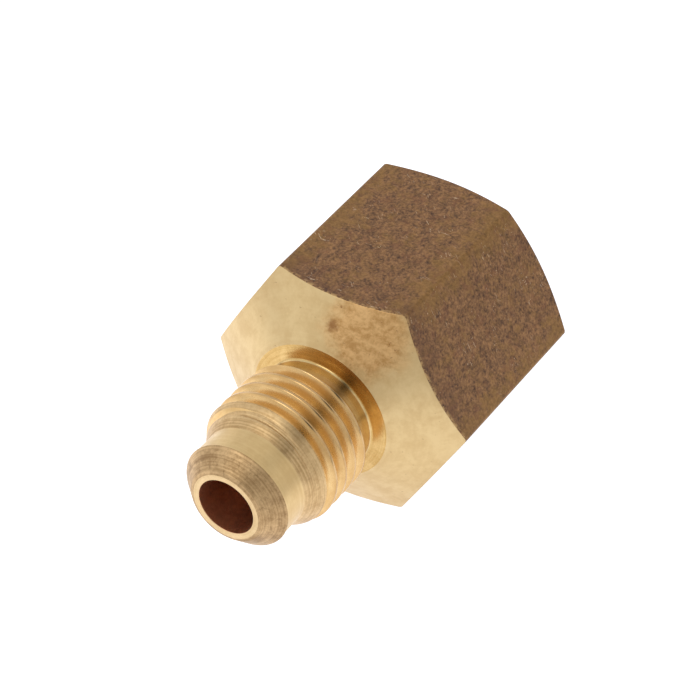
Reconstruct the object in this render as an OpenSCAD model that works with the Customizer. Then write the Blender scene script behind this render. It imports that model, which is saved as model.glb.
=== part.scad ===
// Flare fitting: a one-piece adapter turned from hexagonal brass bar.
// A male 45 degree flare end with its thread stands on a hexagonal body, and the body
// holds a parallel female pipe thread. Both ends share one axis and one flow bore.
// Units are mm. +X runs along the axis towards the flare nose, +Z is square to a wrench
// flat, and the origin is on the axis in the plane of the female end face.

/* [Hexagonal body] */
// Width across the wrench flats: 3/4 in bar
hex_across_flats = 19.05; // [18:0.05:21]
// Radius on the long edges of the bar
hex_corner_r = 0.4; // [0.1:0.1:1.2]
// Length of the hexagon at the middle of a flat
hex_length = 16.5; // [15.5:0.1:22]
// Slope of the turned shoulder, from a plane square to the axis
shoulder_angle = 30; // [15:1:35]
// Outer radius of the narrow ring round the foot of the spigot
shoulder_ring_r = 5.85; // [5.7:0.05:6.6]
// Slope of that ring, from a plane square to the axis
shoulder_ring_angle = 13; // [0:1:14]
// Slope of the chamfer at the female end, from a plane square to the axis
end_chamfer_angle = 25.6; // [15:0.1:40]
// Radius of the flat end face at the female end
end_face_r = 9.35; // [8.6:0.05:9.4]

/* [Flare thread] */
// Major diameter: 7/16-20 UNF, within the limits for an external thread
flare_major_d = 11.04; // [10.87:0.01:11.11]
// Pitch: 20 turns to the inch
flare_pitch = 1.27; // [1.2:0.01:1.3]
// Depth of the thread
flare_depth = 0.77; // [0.6:0.01:0.78]
// Width of the crest
flare_crest = 0.25; // [0.15:0.01:0.35]
// Hand of the thread: -1 is left hand, 1 is right hand
flare_hand = -1; // [-1:2:1]
// Angle about the axis at which the groove starts
flare_start_angle = 85; // [0:5:355]
// Radius of the relief groove between the thread and the shoulder
relief_r = 4.65; // [4.4:0.01:4.7]
// Length of the relief groove
relief_length = 1.7; // [1.6:0.1:2.2]
// Length of thread at full diameter
thread_length = 4.75; // [4:0.05:8]
// Length of the chamfer that starts the thread
thread_chamfer = 1.85; // [1.2:0.05:2]

/* [Flare nose] */
// Radius of the plain neck between the thread and the seat
neck_r = 4.36; // [4.2:0.01:4.4]
// Length of the neck
neck_length = 2.3; // [1.9:0.05:3]
// Radius at the large end of the 45 degree seat
seat_r = 4.46; // [4.42:0.01:4.65]
// Outer radius of the flat lip at the tip
lip_r = 3.0; // [2.7:0.01:3.4]
// Diameter of the flow bore
bore_d = 4.7; // [4:0.01:5]

/* [Female pipe thread] */
// Minor diameter, which is also the drilled size: G 1/4
port_minor_d = 11.445; // [11.3:0.005:11.6]
// Pitch: 19 turns to the inch
port_pitch = 1.337; // [1.3:0.001:1.4]
// Depth of the thread
port_depth = 0.856; // [0.7:0.001:0.9]
// Width of the crest
port_crest = 0.22; // [0.15:0.01:0.3]
// Hand of the thread: -1 is left hand, 1 is right hand
port_hand = 1; // [-1:2:1]
// Depth of the last full turn
port_thread_length = 10.5; // [8:0.1:11]
// Depth of the parallel drilled hole
port_drill_length = 13.8; // [13.2:0.1:14]
// Radius of the countersink in the end face
port_mouth_r = 6.85; // [6.7:0.05:7.5]

/* [Hidden] */
$fn = 96;
// Steps in one turn of a thread
turn_steps = 36;
flat_r = hex_across_flats / 2;
corner_at = (flat_r - hex_corner_r) / cos(30);
outside_r = hex_across_flats / sqrt(3) + 1;
ring_x = hex_length + (flat_r - shoulder_ring_r) * tan(shoulder_angle);
corner_front_x = hex_length - (outside_r - flat_r) * tan(shoulder_angle);
corner_back_x = (outside_r - end_face_r) * tan(end_chamfer_angle);
flare_r = flare_major_d / 2;
// Widths of a groove at the crest and at its floor
flare_groove_w = flare_pitch - flare_crest;
flare_floor_w = max(0.04, flare_groove_w - 2 * flare_depth * tan(30));
relief_end = ring_x + relief_length;
crest_start = relief_end + 0.5;
crest_end = crest_start + thread_length;
neck_start = crest_end + thread_chamfer;
ridge_x = neck_start + neck_length;
tip_x = ridge_x + seat_r - lip_r;
port_r = port_minor_d / 2;
port_groove_w = port_pitch - port_crest;
port_floor_w = max(0.04, port_groove_w - 2 * port_depth * tan(27.5));
bore_r = bore_d / 2;
// Slope of the drill's point, in mm of depth to a mm of radius
drill_slope = 1 / tan(59);

// A screw-shaped cutter for one thread groove. Each ring is a four-sided section: two
// points at the groove's floor and two just outside the wall it is cut in. The floor can
// rise out of the metal over the last turns.
module groove(from_x, to_x, pitch, hand, floor_r, wall_r, floor_w, wall_w, fade_turns) {
  turns = (to_x - from_x) / pitch;
  steps = ceil(turns * turn_steps);
  over = (wall_r > floor_r ? 0.08 : -0.08);
  slope = (wall_w - floor_w) / abs(wall_r - floor_r) / 2;
  top_w = wall_w + 2 * abs(over) * slope;
  rings = [for (i = [0 : steps])
    let (
      left = (steps - i) / turn_steps,
      fade = fade_turns > 0 ? min(1, left / fade_turns) : 1,
      floor_now = wall_r + (floor_r - wall_r) * fade + over * (1 - fade) * 0.6,
      x = from_x + (to_x - from_x) * i / steps,
      a = hand * 360 * i / turn_steps,
      w = top_w / 2 - (top_w - floor_w) / 2 * abs(wall_r + over - floor_now)
        / abs(wall_r + over - floor_r),
      r_out = wall_r + over
    )
    [
      [x - top_w / 2, r_out * cos(a), r_out * sin(a)],
      [x - w, floor_now * cos(a), floor_now * sin(a)],
      [x + w, floor_now * cos(a), floor_now * sin(a)],
      [x + top_w / 2, r_out * cos(a), r_out * sin(a)]
    ]];
  points = [for (ring = rings) for (p = ring) p];
  sides = [for (i = [0 : steps - 1]) for (k = [0 : 3])
    let (a = 4 * i + k, b = 4 * i + (k + 1) % 4)
    for (t = [[a, b, b + 4], [a, b + 4, a + 4]]) t];
  caps = [[3, 2, 1], [3, 1, 0],
    [4 * steps, 4 * steps + 1, 4 * steps + 2], [4 * steps, 4 * steps + 2, 4 * steps + 3]];
  flipped = (wall_r > floor_r) == (hand > 0);
  faces = [for (f = concat(sides, caps)) flipped ? [f[2], f[1], f[0]] : f];
  polyhedron(points, faces, convexity = 10);
}

module hex_bar() {
  linear_extrude(relief_end)
    union() {
      polygon([for (k = [0 : 5]) for (s = [-30, 30])
        [corner_at * cos(60 * k + 30) + hex_corner_r * cos(60 * k + 30 + s),
         corner_at * sin(60 * k + 30) + hex_corner_r * sin(60 * k + 30 + s)]]);
      for (k = [0 : 5])
        rotate(60 * k + 30)
          translate([corner_at, 0])
            circle(hex_corner_r);
    }
}

module hex_turned_ends() {
  rotate_extrude()
    polygon([
      [0, 0],
      [end_face_r, 0],
      [outside_r, corner_back_x],
      [outside_r, corner_front_x],
      [shoulder_ring_r, ring_x],
      [0, ring_x + shoulder_ring_r * tan(shoulder_ring_angle)]
    ]);
}

module spigot() {
  rotate_extrude()
    polygon([
      [0, ring_x - 1],
      [relief_r, ring_x - 1],
      [relief_r, relief_end],
      [flare_r, crest_start],
      [flare_r, crest_end],
      [neck_r, neck_start],
      [neck_r, ridge_x - 0.06],
      [seat_r, ridge_x],
      [lip_r, tip_x],
      [0, tip_x]
    ]);
}

module port_and_bore() {
  // Countersink
  translate([0, 0, -1])
    cylinder(h = port_mouth_r + 1 - port_r + 0.3, r1 = port_mouth_r + 1, r2 = port_r - 0.3);
  translate([0, 0, -1])
    cylinder(h = port_drill_length + 1, r = port_r);
  // Cone left by the drill's point
  translate([0, 0, port_drill_length])
    cylinder(h = (port_r - 1) * drill_slope, r1 = port_r, r2 = 1);
  cylinder(h = tip_x + 1, r = bore_r);
}

module fitting_body() {
  color("goldenrod")
    difference() {
      rotate([0, 90, 0])
        difference() {
          union() {
            intersection() {
              hex_bar();
              hex_turned_ends();
            }
            spigot();
          }
          port_and_bore();
        }
      rotate([flare_hand * flare_start_angle, 0, 0])
        groove(relief_end - 0.85, neck_start + 0.3, flare_pitch, flare_hand,
          flare_r - flare_depth, flare_r, flare_floor_w, flare_groove_w, 0);
      groove(-0.85, port_thread_length + port_pitch, port_pitch, port_hand,
        port_r + port_depth, port_r, port_floor_w, port_groove_w, 1.2);
    }
}

fitting_body();
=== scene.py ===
"""The look of the flare fitting: one brass piece, built as one closed mesh around its axis."""

import math

import bpy
from mathutils import Matrix, Vector


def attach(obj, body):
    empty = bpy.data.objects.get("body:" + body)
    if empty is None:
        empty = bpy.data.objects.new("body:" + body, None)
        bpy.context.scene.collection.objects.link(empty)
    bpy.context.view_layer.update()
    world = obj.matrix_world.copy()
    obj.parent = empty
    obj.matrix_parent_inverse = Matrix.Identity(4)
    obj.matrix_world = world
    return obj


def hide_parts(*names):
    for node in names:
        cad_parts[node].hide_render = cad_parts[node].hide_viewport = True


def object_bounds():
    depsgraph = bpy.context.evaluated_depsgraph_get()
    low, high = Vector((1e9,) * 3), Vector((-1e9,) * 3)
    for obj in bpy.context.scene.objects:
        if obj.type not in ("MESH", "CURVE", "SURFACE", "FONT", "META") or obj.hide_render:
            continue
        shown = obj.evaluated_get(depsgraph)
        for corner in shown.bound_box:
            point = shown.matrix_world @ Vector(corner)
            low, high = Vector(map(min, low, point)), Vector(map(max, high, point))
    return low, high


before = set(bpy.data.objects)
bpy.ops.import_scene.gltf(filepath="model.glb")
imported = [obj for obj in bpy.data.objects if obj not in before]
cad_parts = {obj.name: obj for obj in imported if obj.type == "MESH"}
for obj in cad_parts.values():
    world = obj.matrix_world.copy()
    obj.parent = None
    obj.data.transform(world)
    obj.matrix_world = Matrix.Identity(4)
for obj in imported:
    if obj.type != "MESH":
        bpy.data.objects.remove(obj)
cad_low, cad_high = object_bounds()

MM = 0.001
TAU = 2 * math.pi

# ---------------------------------------------------------------- sizes, in mm
# The frame gives the outside sizes. The rest repeats the CAD source.
tip_x = cad_high.x / MM
flat_r = cad_high.z / MM

# Hexagonal body, from the female end face to the ring round the foot of the spigot
corner_r = 0.4
corner_at = (flat_r - corner_r) / math.cos(math.radians(30))
hex_length = 16.5
end_face_r = 9.35
ring_r = 5.85
front_slope = math.tan(math.radians(30))
ring_slope = math.tan(math.radians(13))
back_slope = math.tan(math.radians(25.6))
ring_x = hex_length + (flat_r - ring_r) * front_slope

# Flare thread, a left-hand one
relief_r = 4.65
flare_r = 5.52
flare_root = flare_r - 0.77
flare_pitch = 1.27
flare_floor = 0.131
flare_flank = math.tan(math.radians(60))
flare_start_angle = 85
relief_end = ring_x + 1.7
crest_start = relief_end + 0.5
crest_end = crest_start + 4.75
neck_start = crest_end + 1.85

# Nose
neck_r = 4.36
seat_r = 4.46
lip_r = 3.0
bore_r = 2.35
ridge_x = neck_start + 2.3
ridge_step = 0.06
# Bevel between the seat and the lip: along the axis, and inwards from the lip's radius
bevel_length = 0.1
bevel_inwards = 0.18

# Female port, with a right-hand thread
mouth_r = 6.85
port_r = 5.7225
port_root = port_r + 0.856
port_pitch = 1.337
port_floor = 0.226
port_flank = 1 / math.tan(math.radians(27.5))
port_thread_length = 10.5
port_fade_turns = 1.2
drill_x = 13.8
cone_foot_x = drill_x + (port_r - bore_r) / math.tan(math.radians(59))

# How far before its own stretch each thread's groove starts
thread_lead = 0.85

# ---------------------------------------------------------------- mesh
FLAT_COLUMNS = 28
CORNER_COLUMNS = 8
# Smallest distance between two rows of points, in mm
FINE = 0.0015
# Half of the angle that one rounded long edge takes, seen from the axis
corner_angle = math.atan2(corner_r * 0.5, corner_at + corner_r * math.cos(math.radians(30)))


def column_angles():
    """Angles of the columns round the axis, closer together over the six rounded edges."""
    angles = []
    for k in range(6):
        middle = k * TAU / 6
        for i in range(CORNER_COLUMNS):
            angles.append(middle - corner_angle + 2 * corner_angle * i / CORNER_COLUMNS)
        span = TAU / 6 - 2 * corner_angle
        for i in range(FLAT_COLUMNS):
            angles.append(middle + corner_angle + span * i / FLAT_COLUMNS)
    return angles


def hex_radius(angle):
    """Distance from the axis to the bar's surface, which has a long edge every 60 degrees."""
    a = (angle + TAU / 12) % (TAU / 6) - TAU / 12
    if abs(a) < corner_angle:
        s = corner_at * math.sin(a)
        return corner_at * math.cos(a) + math.sqrt(max(0.0, corner_r**2 - s * s))
    return flat_r / math.cos(TAU / 12 - abs(a))


def towards(here, there):
    """The unit vector from one (x, r) point to another, and the distance."""
    step = (there[0] - here[0], there[1] - here[1])
    length = math.hypot(*step)
    return (step[0] / length, step[1] / length), length


def rounded(start, legs, steps=4):
    """Points along an outline with rounded corners, and the surface that follows each point.

    A leg is (surface, cuts, end, radius): its surface's name, how many points divide it, the
    (x, r) point it runs to, and the size of the rounding there.
    """
    rows, surfaces = [start], []
    last = corner = start
    for i, (surface, cuts, end, radius) in enumerate(legs):
        if i < len(legs) - 1:
            u, length_back = towards(end, corner)
            v, length_on = towards(end, legs[i + 1][2])
            half = math.acos(max(-1, min(1, u[0] * v[0] + u[1] * v[1]))) / 2
            reach = min(radius / math.tan(half), 0.45 * length_back, 0.45 * length_on)
            bend_in = (end[0] + u[0] * reach, end[1] + u[1] * reach)
            bend_out = (end[0] + v[0] * reach, end[1] + v[1] * reach)
        else:
            bend_in = bend_out = end
        for k in range(1, cuts + 2):
            t = k / (cuts + 1)
            rows.append((last[0] + (bend_in[0] - last[0]) * t,
                         last[1] + (bend_in[1] - last[1]) * t))
            surfaces.append(surface)
        if bend_out is not bend_in:
            for k in range(1, steps + 1):
                t = k / steps
                a, b, c = (1 - t) ** 2, 2 * t * (1 - t), t * t
                rows.append((a * bend_in[0] + b * end[0] + c * bend_out[0],
                             a * bend_in[1] + b * end[1] + c * bend_out[1]))
                surfaces.append(surface if k <= steps // 2 else legs[i + 1][0])
        last, corner = bend_out, end
    return rows, surfaces


def along(outline, x):
    """The radius of a turned outline at x, between its (x, r) points."""
    for (x0, r0), (x1, r1) in zip(outline, outline[1:]):
        if x <= x1:
            return r0 + (r1 - r0) * max(0.0, x - x0) / (x1 - x0)
    return outline[-1][1]


def soft_min(a, b, k):
    """The smaller of two values, blended where they differ by less than k."""
    h = max(k - abs(a - b), 0.0) / k
    return min(a, b) - h * h * k / 4


class Thread:
    """A turned outline with one helical groove cut in it.

    low and high bound the stretch, and outline holds the (x, r) points of its uncut wall. At
    angle 0 the groove's middle is at start, and it moves along by pitch with each turn: towards
    high for hand 1, towards low for -1. root and wall are the radii of the groove's floor and of
    the wall, floor is the floor's width, and flank is how fast the sides rise. side is 1 outside
    and -1 in a hole. The groove runs out over the last fade turns before turns_end. soft rounds
    its rims, marks are extra rows of points, and the groove's own look ends at look_end.
    """

    # Rows of points that one groove and the crest beside it take
    rows_in_pitch = 17

    def __init__(self, low, high, outline, start, pitch, hand, root, wall, floor, flank, side,
                 turns_end=1e9, fade=0.0, soft=0.06, marks=(), look_end=1e9):
        self.low, self.high, self.outline = low, high, outline
        self.start, self.pitch, self.hand = start, pitch, hand
        self.root, self.wall, self.floor, self.flank = root, wall, floor, flank
        self.side, self.turns_end, self.fade, self.soft = side, turns_end, fade, soft
        self.marks, self.look_end = list(marks), look_end
        self.first = math.floor((low - start) / pitch) - 2
        self.last = math.ceil((high - start) / pitch) + 2

    def floor_radius(self, turn):
        if self.fade <= 0:
            return self.root
        share = max(-0.3, min(1.0, (self.turns_end - turn) / self.fade))
        return self.wall + (self.root - self.wall) * share

    def radius(self, x, angle):
        """Radius of the surface, and whether it lies in the groove."""
        uncut = self.side * along(self.outline, x)
        turn = (x - self.start) / self.pitch - self.hand * angle / TAU
        groove = 1e9
        for n in (math.floor(turn), math.floor(turn) + 1):
            d = abs(turn - n) * self.pitch - self.floor / 2
            d = -soft_min(0.0, -d, 0.08)
            root = self.side * self.floor_radius(n + self.hand * angle / TAU)
            groove = min(groove, root + self.flank * max(0.0, d))
        return self.side * soft_min(uncut, groove, self.soft), groove < uncut

    def edge(self, centre, way, angle, n):
        """Half width of groove n where it meets the outline, found by halving the range."""
        root = self.side * self.floor_radius(n + self.hand * angle / TAU)
        a, b = self.floor / 2 + 0.04, self.pitch / 2 - 0.06
        for _ in range(18):
            d = (a + b) / 2
            wall = self.side * along(self.outline, centre + way * d)
            if root + self.flank * (d - self.floor / 2) > wall:
                b = d
            else:
                a = d
        return (a + b) / 2

    def positions(self, angle):
        """Sorted x positions of one column's rows, kept inside the threaded stretch."""
        found = list(self.marks)
        after = None
        for n in range(self.first, self.last + 1):
            centre = self.start + self.pitch * (n + self.hand * angle / TAU)
            left, right = (self.edge(centre, way, angle, n) for way in (-1, 1))
            if after is not None:
                gap = centre - left - after
                found += [after + gap / 3, after + gap * 2 / 3]
            found.append(centre)
            for d, way in ((left, -1), (right, 1)):
                side = d - self.floor / 2
                rim = min(0.03, 0.3 * side)
                found.append(centre + way * self.floor / 2)
                for share in (0.25, 0.5, 0.75):
                    found.append(centre + way * (self.floor / 2 + share * side))
                found += [centre + way * (d - rim), centre + way * d, centre + way * (d + rim)]
            after = centre + right
        found.sort()
        out = []
        for x in found:
            if x <= self.low + 1e-6:
                out.append(self.low)
                continue
            x = max(x, (out[-1] if out else self.low) + FINE)
            out.append(self.high if x >= self.high - FINE else x)
        return out


class Shell:
    """The surface under construction: points, faces, and the name of each face's surface."""

    def __init__(self, angles):
        self.angles = angles
        self.points, self.faces, self.surfaces = [], [], []

    def add(self, x, r, angle):
        self.points.append((x * MM, r * math.cos(angle) * MM, r * math.sin(angle) * MM))
        return len(self.points) - 1

    def sweep(self, columns, surfaces):
        """Faces between columns that have the same number of points, all the way round."""
        for i, a in enumerate(columns):
            b = columns[(i + 1) % len(columns)]
            for j, surface in enumerate(surfaces):
                self.faces.append((a[j], b[j], b[j + 1], a[j + 1]))
                self.surfaces.append(surface)

    def cut_thread(self, thread, low_ids, high_ids, groove, outline):
        """Faces of a threaded stretch, between two rings of points that are there already."""
        rows = [thread.positions(angle) for angle in self.angles]
        count, total = len(rows), len(rows[0])
        columns = []
        for i, angle in enumerate(self.angles):
            column = []
            for x in rows[i]:
                if x <= thread.low:
                    column.append(low_ids[i])
                elif x >= thread.high:
                    column.append(high_ids[i])
                else:
                    column.append(self.add(x, thread.radius(x, angle)[0], angle))
            columns.append(column)
        # After one turn each row meets the row one pitch further on
        shift = thread.hand * thread.rows_in_pitch

        def at(i, j):
            if i < count:
                return columns[i][j]
            j += shift
            return low_ids[0] if j < 0 else high_ids[0] if j >= total else columns[0][j]

        for i in range(count):
            for j in range(total - 1):
                corners = [at(i, j), at(i + 1, j), at(i + 1, j + 1), at(i, j + 1)]
                face = [v for k, v in enumerate(corners) if v != corners[k - 1]]
                if len(set(face)) < 3:
                    continue
                if thread.side < 0:
                    face.reverse()
                x = (rows[i][j] + rows[i][j + 1]) / 2
                in_groove = thread.radius(x, self.angles[i])[1] and x < thread.look_end
                self.faces.append(tuple(face))
                self.surfaces.append(groove if in_groove else outline(x))


def build_body():
    """One closed shell: end face, hexagon, shoulder, thread, nose, bore and female port."""
    # Where the port's threaded stretch starts and ends, and where the flare's ends
    port_low, port_high = 0.12, 12.3
    nose_start = neck_start - 0.1
    port_line = [(0.0, mouth_r), (mouth_r - port_r, port_r), (port_high, port_r)]
    spigot_line = [(relief_end, relief_r), (crest_start, flare_r), (crest_end, flare_r),
                   (neck_start, neck_r)]
    flare_start = relief_end - thread_lead - flare_pitch * flare_start_angle / 360
    flare_marks = ([relief_end + d for d in (0.04, 0.12, 0.2, 0.28, 0.36, 0.44, 0.48, 0.5, 0.53)]
                   + [crest_end + d for d in (-0.05, 0.0, 0.05)]
                   + [crest_end + 0.2 * k for k in range(1, 9)])
    flare = Thread(
        relief_end, nose_start, spigot_line, flare_start, flare_pitch, -1, flare_root, flare_r,
        flare_floor, flare_flank, 1, soft=0.12, marks=flare_marks, look_end=crest_end + 0.6)
    port = Thread(
        port_low, port_high, port_line, -thread_lead, port_pitch, 1, port_root, port_r,
        port_floor, port_flank, -1,
        turns_end=(port_thread_length + port_pitch + thread_lead) / port_pitch,
        fade=port_fade_turns, marks=[0.3, 0.5, 0.7, 0.9, 1.08, 1.13, 1.2])

    shell = Shell(column_angles())
    body_columns, nose_columns = [], []
    nose_line, nose_surfaces = rounded((nose_start, along(spigot_line, nose_start)), [
        ("chamfer", 0, (neck_start, neck_r), 0.12),
        ("neck", 5, (ridge_x - ridge_step, neck_r), 0.03),
        ("neck", 0, (ridge_x, seat_r), 0.05),
        ("seat", 6, (tip_x - bevel_length, lip_r + bevel_length), 0.2),
        ("seat", 0, (tip_x, lip_r - bevel_inwards), 0.08),
        ("lip", 1, (tip_x, bore_r), 0.06),
        ("bore", 11, (cone_foot_x, bore_r), 0.05),
        ("port", 4, (drill_x, port_r), 0.1),
        ("port", 1, (port_high, port_r), 0)])
    for angle in shell.angles:
        bar = hex_radius(angle)
        body_line, body_surfaces = rounded((port_low, along(port_line, port_low)), [
            ("port", 0, (0, mouth_r), 0.05),
            ("end", 2, (0, end_face_r), 0.06),
            ("end", 1, ((bar - end_face_r) * back_slope, bar), 0.05),
            ("skin", 11, (ring_x - (bar - ring_r) * front_slope, bar), 0.07),
            ("shoulder", 7, (ring_x, ring_r), 0.05),
            ("ring", 2, (ring_x + (ring_r - relief_r) * ring_slope, relief_r), 0.24),
            ("relief", 3, (relief_end, relief_r), 0)])
        body_columns.append([shell.add(x, r, angle) for x, r in body_line])
        nose_columns.append([shell.add(x, r, angle) for x, r in nose_line])
    shell.sweep(body_columns, body_surfaces)
    shell.sweep(nose_columns, nose_surfaces)
    shell.cut_thread(flare, [c[-1] for c in body_columns], [c[0] for c in nose_columns],
                     "thread", lambda x: "chamfer" if x > crest_end else "crest")
    shell.cut_thread(port, [c[0] for c in body_columns], [c[-1] for c in nose_columns],
                     "port", lambda x: "port")
    return shell


# ---------------------------------------------------------------- node trees


def srgb(r, g, b):
    """A linear colour from its everyday numbers, 0 to 255."""
    return tuple(((c / 255 + 0.055) / 1.055) ** 2.4 if c > 10 else c / 255 / 12.92
                 for c in (r, g, b))


class Graph:
    """A node tree under construction, with short calls for the nodes it uses."""

    def __init__(self, tree):
        self.tree = tree
        tree.nodes.clear()

    def node(self, kind, **settings):
        made = self.tree.nodes.new("ShaderNode" + kind)
        for name, value in settings.items():
            setattr(made, name, value)
        return made

    def put(self, socket, value):
        """Link a socket to another node's output, or set its value."""
        if isinstance(value, bpy.types.NodeSocket):
            self.tree.links.new(value, socket)
        elif socket.type == "RGBA":
            socket.default_value = (*value[:3], 1)
        else:
            socket.default_value = value

    def math(self, kind, *values):
        n = self.node("Math", operation=kind)
        for socket, value in zip(n.inputs, values):
            self.put(socket, value)
        return n.outputs[0]

    def plus(self, a, b):
        return self.math("ADD", a, b)

    def times(self, a, b):
        return self.math("MULTIPLY", a, b)

    def weighted(self, *terms):
        """The sum of (value, weight) pairs."""
        total = self.times(*terms[-1])
        for value, weight in reversed(terms[:-1]):
            total = self.plus(self.times(value, weight), total)
        return total

    def ramp(self, value, low, high, to_low=0.0, to_high=1.0, smooth=True):
        """to_low where the value is low or less, to_high where it is high or more."""
        n = self.node("MapRange", interpolation_type="SMOOTHSTEP" if smooth else "LINEAR")
        for socket, v in zip(n.inputs, (value, low, high, to_low, to_high)):
            self.put(socket, v)
        return n.outputs[0]

    def split(self, vector):
        n = self.node("SeparateXYZ")
        self.put(n.inputs[0], vector)
        return n.outputs

    def join(self, x, y, z):
        n = self.node("CombineXYZ")
        for socket, value in zip(n.inputs, (x, y, z)):
            self.put(socket, value)
        return n.outputs[0]

    def distance(self, vector, place):
        n = self.node("VectorMath", operation="DISTANCE")
        self.put(n.inputs[0], vector)
        n.inputs[1].default_value = place
        return n.outputs["Value"]


class MaterialGraph(Graph):
    """A material under construction, with one Principled shader."""

    def __init__(self, name):
        self.material = bpy.data.materials.new(name)
        self.material.use_nodes = True
        super().__init__(self.material.node_tree)
        self.shader = self.node("BsdfPrincipled")
        self.put(self.node("OutputMaterial").inputs[0], self.shader.outputs[0])

    def object_position(self):
        """The position in the object's own space, in metres."""
        return self.node("TexCoord").outputs["Object"]

    def position(self):
        """Object position in mm: the vector, its x, y and z, and the distance from the axis."""
        scale = self.node("VectorMath", operation="SCALE")
        self.put(scale.inputs[0], self.object_position())
        scale.inputs["Scale"].default_value = 1 / MM
        x, y, z = self.split(scale.outputs[0])
        r = self.math("SQRT", self.plus(self.times(y, y), self.times(z, z)))
        return scale.outputs[0], x, y, z, r

    def stretched(self, x, y, z, scale_x, scale_y, scale_z):
        """A vector with its own scale each way, so that a noise in it is drawn out."""
        return self.join(self.times(x, scale_x), self.times(y, scale_y), self.times(z, scale_z))

    def noise(self, vector, scale, detail=3.0, rough=0.55, w=None, warp=0.0):
        n = self.node("TexNoise", noise_dimensions="3D" if w is None else "4D")
        self.put(n.inputs["Vector"], vector)
        if w is not None:
            self.put(n.inputs["W"], w)
        n.inputs["Scale"].default_value = scale
        n.inputs["Detail"].default_value = detail
        n.inputs["Roughness"].default_value = rough
        n.inputs["Distortion"].default_value = warp
        return n.outputs[0]

    def turned(self, x, y, z, r, lines, wobble):
        """Noise drawn out round the axis, as a cutting tool leaves it, with lines to a mm."""
        least_r = self.math("MAXIMUM", r, 0.5)
        around = self.join(self.times(x, lines),
                           self.times(self.math("DIVIDE", y, least_r), wobble),
                           self.times(self.math("DIVIDE", z, least_r), wobble))
        return self.noise(around, 1.0, 2.0, 0.6, w=self.times(r, lines))

    def mix(self, share, a, b):
        """Colour a where the share is 0, and b where it is 1."""
        n = self.node("Mix", data_type="RGBA")
        self.put(n.inputs["Factor"], share)
        for socket, colour in zip([s for s in n.inputs if s.type == "RGBA"], (a, b)):
            self.put(socket, colour)
        return next(o for o in n.outputs if o.type == "RGBA")

    def bump(self, height, strength, distance, below=None):
        """A normal for small relief of this height in mm, on top of the one below."""
        n = self.node("Bump")
        n.inputs["Strength"].default_value = strength
        n.inputs["Distance"].default_value = distance * MM
        self.put(n.inputs["Height"], height)
        if below is not None:
            self.put(n.inputs["Normal"], below)
        return n.outputs[0]

    def finish(self, colour, rough, normal=None, metallic=1.0):
        self.put(self.shader.inputs["Base Color"], colour)
        self.put(self.shader.inputs["Roughness"], rough)
        self.put(self.shader.inputs["Metallic"], metallic)
        if normal is not None:
            self.put(self.shader.inputs["Normal"], normal)
        return self.material


# ---------------------------------------------------------------- materials


def skin():
    """The drawn bar's own surface: brown oxide with fine speckle and short light scratches."""
    m = MaterialGraph("tarnished_skin")
    p, x, y, z, r = m.position()
    broad = m.noise(p, 0.35, 3, 0.6)
    grain = m.noise(p, 3.4, 5, 0.72)
    fine = m.noise(p, 4.6, 3, 0.7)
    drawn = m.noise(m.stretched(x, y, z, 1.1, 6.0, 6.0), 1.0, 3, 0.65)
    cloud = m.noise(p, 1.25, 4, 0.68)
    tone = m.weighted((cloud, 0.24), (grain, 0.28), (fine, 0.42), (drawn, 0.06))
    colour = m.mix(m.ramp(tone, 0.405, 0.595, smooth=False), srgb(80, 52, 33), srgb(178, 131, 85))

    # Olive gold where the oxide is thin: along the long edges and in patches
    edge = m.ramp(r, 10.0, 10.9)
    patch = m.ramp(m.plus(m.noise(p, 0.8, 5, 0.75), m.times(edge, 0.2)), 0.46, 0.72)
    colour = m.mix(m.times(patch, 0.5), colour, srgb(158, 118, 54))
    rust = m.ramp(m.noise(p, 1.1, 3, 0.6, warp=0.3), 0.5, 0.68, 0.0, 0.4)
    colour = m.mix(rust, colour, srgb(132, 84, 56))

    # Redder and darker close to the shoulder. to_cone is 0 on the shoulder, and negative behind
    to_cone = m.plus(m.math("SUBTRACT", x, ring_x),
                     m.times(m.math("SUBTRACT", r, ring_r), front_slope))
    front = m.times(m.ramp(to_cone, -3.2, -0.1), m.ramp(broad, 0.4, 0.62, 0.1, 0.4))
    colour = m.mix(front, colour, srgb(104, 68, 48))

    # A ragged rim: dark spots, and bare brass where the oxide has chipped off
    spots = m.times(m.ramp(to_cone, -1.3, -0.2),
                    m.ramp(m.noise(p, 1.7, 4, 0.7), 0.56, 0.68, 0.0, 0.7))
    colour = m.mix(spots, colour, srgb(66, 42, 40))
    chips = m.times(m.ramp(to_cone, -0.4, -0.05),
                    m.ramp(m.noise(p, 2.4, 4, 0.7), 0.46, 0.58, 0.0, 0.8))
    colour = m.mix(chips, colour, srgb(206, 166, 108))

    # Short light scratches in two directions, in a few clusters
    across = m.noise(m.stretched(x, y, z, 8.0, 0.8, 0.8), 1.0, 2, 0.5, warp=1.2)
    aslant = m.noise(m.stretched(m.plus(x, y), m.math("SUBTRACT", y, x), z, 0.8, 7.0, 7.0),
                     1.0, 2, 0.5, warp=0.8)
    cluster = m.ramp(m.noise(p, 0.55, 2, 0.5), 0.5, 0.66)
    scratch = m.math("MAXIMUM", m.ramp(across, 0.67, 0.71), m.ramp(aslant, 0.67, 0.71))
    colour = m.mix(m.times(m.times(scratch, cluster), 0.95), colour, srgb(236, 206, 168))

    height = m.weighted((grain, 0.6), (fine, 0.4))
    return m.finish(colour, m.ramp(grain, 0.3, 0.7, 0.5, 0.66), m.bump(height, 0.6, 0.025), 0.45)


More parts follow.
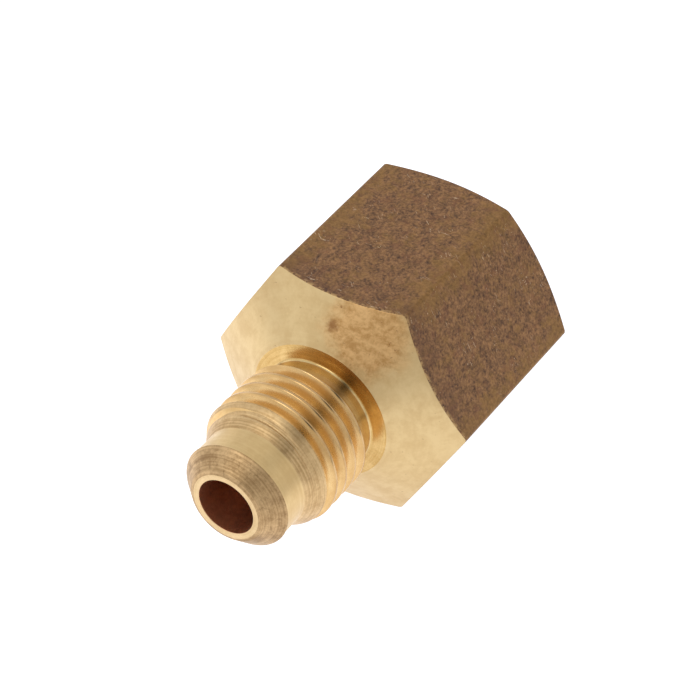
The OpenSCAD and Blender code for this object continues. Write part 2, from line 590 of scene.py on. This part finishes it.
def stained(m, p, x, y, z, colour, share):
    """Copper-brown stain over one side of the shoulder, with pits, a nick and fine dashes."""
    from_middle = m.plus(m.distance(p, (17.2, 3.2, 7.8)), m.times(m.noise(p, 0.9, 4, 0.65), 2.6))
    near = m.ramp(from_middle, 3.4, 5.6, 1.0, 0.0)
    streak = m.noise(m.stretched(x, y, z, 0.8, 0.7, 1.6), 1.0, 5, 0.7, warp=0.2)
    mottle = m.weighted((streak, 0.65), (m.noise(p, 3.6, 3, 0.7), 0.35))
    copper = m.mix(m.ramp(mottle, 0.37, 0.63), srgb(184, 138, 82), srgb(224, 180, 122))
    colour = m.mix(m.times(near, share), colour, copper)
    pits = m.times(m.ramp(m.noise(p, 2.6, 4, 0.65), 0.62, 0.72), near)
    colour = m.mix(m.times(pits, 0.7), colour, srgb(132, 84, 54))
    from_nick = m.plus(m.distance(p, (17.55, 0.4, 7.69)), m.times(m.noise(p, 2.6, 3, 0.6), 0.8))
    colour = m.mix(m.ramp(from_nick, 0.55, 1.05, 0.75, 0.0), colour, srgb(134, 86, 46))
    dash = m.noise(m.stretched(x, y, z, 6.0, 1.4, 5.0), 1.0, 2, 0.5)
    return m.mix(m.ramp(dash, 0.7, 0.78, 0.0, 0.5), colour, srgb(150, 112, 76))


def machined(name, light, dark, rough, lines, line_bump, wobble=0.35, ring_tone=0.35,
             painted_gold_reflection=0.0, blotch=0.0, stain=0.0):
    """Turned brass: rings left by the tool, uneven colour, and a satin gloss.

    lines is how many rings there are to a mm, and ring_tone how much they colour the brass.
    blotch and stain weigh two kinds of wear, painted_gold_reflection a painted reflection, 0 to
    1.
    """
    m = MaterialGraph(name)
    p, x, y, z, r = m.position()
    rings = m.turned(x, y, z, r, lines, wobble)
    broad = m.noise(p, 0.7, 4, 0.6, warp=0.4)
    speck = m.noise(p, 4.5, 3, 0.65)
    tone = m.weighted((rings, ring_tone), (broad, 0.8 - ring_tone), (speck, 0.2))
    colour = m.mix(m.ramp(tone, 0.36, 0.64), srgb(*dark), srgb(*light))
    if painted_gold_reflection:
        # Painted reflection: golden brown towards the crests, as the groove flanks mirror the
        # brass
        near_crest = m.ramp(r, flare_root + 0.25, flare_r, 0.0, painted_gold_reflection)
        colour = m.mix(near_crest, colour, srgb(200, 156, 98))
    if blotch:
        spots = m.ramp(m.noise(p, 2.2, 5, 0.7, warp=0.8), 0.5, 0.72)
        colour = m.mix(m.times(spots, blotch), colour, srgb(112, 84, 54))
    if stain:
        colour = stained(m, p, x, y, z, colour, stain)
    gloss = m.ramp(tone, 0.3, 0.7, rough + 0.06, rough - 0.05)
    normal = m.bump(speck, 0.12, 0.01, m.bump(rings, line_bump, 0.012))
    return m.finish(colour, gloss, normal)


MATERIALS = {
    "skin": skin(),
    "shoulder": machined("turned_shoulder", (219, 191, 139), (209, 179, 127), 0.38, 5.0, 0.06,
                         ring_tone=0.15, stain=0.9),
    "ring": machined("turned_ring", (217, 182, 120), (195, 157, 93), 0.24, 6.0, 0.12),
    "relief": machined("turned_relief", (227, 199, 144), (207, 172, 117), 0.18, 6.0, 0.12),
    # Painted reflection: the thread's flanks turn golden brown towards the crests
    "thread": machined("cut_thread", (238, 202, 142), (222, 182, 120), 0.28, 7.0, 0.12, painted_gold_reflection=0.5),
    "crest": machined("thread_crest", (222, 186, 134), (200, 160, 108), 0.2, 9.0, 0.15),
    "chamfer": machined("matte_chamfer", (227, 194, 142), (183, 148, 100), 0.42, 7.0, 0.4,
                        ring_tone=0.5, blotch=0.2),
    "neck": machined("turned_neck", (230, 199, 143), (220, 187, 131), 0.36, 4.0, 0.08),
    "seat": machined("matte_seat", (212, 178, 130), (158, 126, 86), 0.46, 7.0, 0.4,
                     ring_tone=0.38, blotch=0.5),
    "lip": machined("turned_lip", (224, 194, 146), (206, 176, 127), 0.34, 6.0, 0.12),
    "bore": machined("drilled_bore", (242, 184, 142), (200, 142, 108), 0.4, 2.0, 0.2,
                     wobble=1.5, ring_tone=0.1),
    "port": machined("port_thread", (214, 176, 112), (180, 138, 80), 0.28, 7.0, 0.25),
    "end": machined("turned_end", (226, 194, 140), (200, 164, 108), 0.32, 6.0, 0.35),
}

# ---------------------------------------------------------------- the piece
shell = build_body()
mesh = bpy.data.meshes.new("fitting")
mesh.from_pydata(shell.points, [], shell.faces)
order = sorted(MATERIALS)
for name in order:
    mesh.materials.append(MATERIALS[name])
mesh.polygons.foreach_set("material_index", [order.index(s) for s in shell.surfaces])
mesh.polygons.foreach_set("use_smooth", [True] * len(shell.faces))
mesh.update()
fitting = bpy.data.objects.new("fitting", mesh)
bpy.context.scene.collection.objects.link(fitting)
normals = fitting.modifiers.new("normals", "WEIGHTED_NORMAL")
normals.mode = "FACE_AREA_WITH_ANGLE"
normals.weight = 60
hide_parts("fitting_body")
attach(fitting, "root")

# ---------------------------------------------------------------- camera


def direction(azimuth, elevation):
    """From the object to a viewer. Azimuth 0 is on the -Y side, and a quarter turn is on +X."""
    return Vector((math.sin(azimuth) * math.cos(elevation),
                   -math.cos(azimuth) * math.cos(elevation), math.sin(elevation)))


AZIMUTH, ELEVATION, ROLL = math.radians(122.142), math.radians(41.018), math.radians(0.40)
TARGET = Vector((15.0, 0.0, 0.0)) * MM
DISTANCE = 241.61 * MM
FOCAL = 164.66
# How far the target is off the middle of the picture, as slopes
OFF_X, OFF_Y = -0.0013, -0.01044

back = direction(AZIMUTH, ELEVATION)
right = Vector((math.cos(AZIMUTH), math.sin(AZIMUTH), 0))
up = back.cross(right)
right, up = (right * math.cos(ROLL) + up * math.sin(ROLL),
             up * math.cos(ROLL) - right * math.sin(ROLL))
centred = Matrix((right, up, back)).transposed()
aim = Vector((0, 0, -1)).rotation_difference(Vector((OFF_X, OFF_Y, -1)).normalized())
camera_data = bpy.data.cameras.new("camera")
camera_data.sensor_width = 36
camera_data.lens = FOCAL
camera_data.clip_start, camera_data.clip_end = 0.01, 10
camera = bpy.data.objects.new("camera", camera_data)
camera.matrix_world = (Matrix.Translation(TARGET + back * DISTANCE)
                       @ (centred @ aim.to_matrix().inverted()).to_4x4())
bpy.context.scene.collection.objects.link(camera)
bpy.context.scene.camera = camera

# ---------------------------------------------------------------- floor
FLOOR_HALF = 3.0
corners = [(-FLOOR_HALF, -FLOOR_HALF, 0), (FLOOR_HALF, -FLOOR_HALF, 0),
           (FLOOR_HALF, FLOOR_HALF, 0), (-FLOOR_HALF, FLOOR_HALF, 0)]
floor_mesh = bpy.data.meshes.new("floor")
floor_mesh.from_pydata(corners, [], [(0, 1, 2, 3)])
floor = bpy.data.objects.new("floor", floor_mesh)
floor.location.z = cad_low.z
bpy.context.scene.collection.objects.link(floor)
# The floor glows by itself, most of all round the fitting and towards -Y
pale = MaterialGraph("pale_floor")
pale.shader.inputs["Emission Color"].default_value = (0.98, 1.0, 1.08, 1)
on_floor = pale.object_position()
round_fitting = pale.ramp(pale.distance(on_floor, (TARGET.x, 0, 0)), 0.025, 0.13, 1.0, 0.3)
to_one_side = pale.ramp(pale.split(on_floor)["Y"], -0.03, 0.03, 0.17, -0.07)
pale.put(pale.shader.inputs["Emission Strength"], pale.plus(round_fitting, to_one_side))
floor_mesh.materials.append(pale.finish((0.3, 0.3, 0.3), 0.9, metallic=0.0))

# ---------------------------------------------------------------- light
# Brightness of the room by angle about the fitting's axis, in degrees from the camera's side
ROOM = ((-120, 0.88), (-80, 0.73), (-40, 0.79), (0, 0.79), (40, 0.79), (80, 0.78), (120, 1.2))
ROOM_LOW, ROOM_HIGH = ROOM[0][0], ROOM[-1][0]

studio = bpy.data.worlds.new("studio")
bpy.context.scene.world = studio
studio.use_nodes = True
room = Graph(studio.node_tree)
background = room.node("Background")
room.put(room.node("OutputWorld").inputs[0], background.outputs[0])
way = room.split(room.node("TexCoord").outputs["Generated"])
angle = room.math("ARCTAN2", way["Z"], way["Y"])
facing = math.atan2(back.z, back.y)

tones = room.node("ValToRGB")
tones.color_ramp.interpolation = "EASE"
stops = tones.color_ramp.elements
while len(stops) < len(ROOM):
    stops.new(0.5)
for stop, (degrees, level) in zip(stops, ROOM):
    stop.position = (degrees - ROOM_LOW) / (ROOM_HIGH - ROOM_LOW)
    # A little bluer away from the camera's side
    cool = abs(degrees) / ROOM_HIGH
    stop.color = (level * (1 - 0.02 * cool), level, level * (1 + 0.06 * cool), 1)
room.put(tones.inputs[0], room.ramp(angle, facing + math.radians(ROOM_LOW),
                                    facing + math.radians(ROOM_HIGH), smooth=False))
room.put(background.inputs["Color"], tones.outputs[0])

# The dark shape of the camera and of what stands behind it, which the turned brass reflects as
# a narrow band. It fades out towards both ends of the fitting
off_band = room.math("ABSOLUTE", room.math("SUBTRACT", angle, facing - math.radians(2)))
band = room.ramp(off_band, math.radians(2), math.radians(20), 0.93, 0.0)
band = room.times(band, room.ramp(way["X"], -0.62, -0.35, 0.04, 1.0))
band = room.times(band, room.ramp(way["X"], 0.78, 0.95, 1.0, 0.2))
room.put(background.inputs["Strength"], room.math("SUBTRACT", 1.0, band))


def soft_box(name, azimuth, elevation, distance, size, watts):
    """A square lamp that looks at the middle of the object. Angles are in degrees."""
    out_to_lamp = direction(math.radians(azimuth), math.radians(elevation))
    data = bpy.data.lights.new(name, "AREA")
    data.size = size
    data.energy = watts
    lamp = bpy.data.objects.new(name, data)
    lamp.location = TARGET + out_to_lamp * distance
    lamp.rotation_euler = out_to_lamp.to_track_quat("Z", "Y").to_euler()
    bpy.context.scene.collection.objects.link(lamp)


soft_box("lamp_above", azimuth=70, elevation=49, distance=0.6, size=0.26, watts=0.42)

bpy.context.scene.view_settings.view_transform = "Standard"
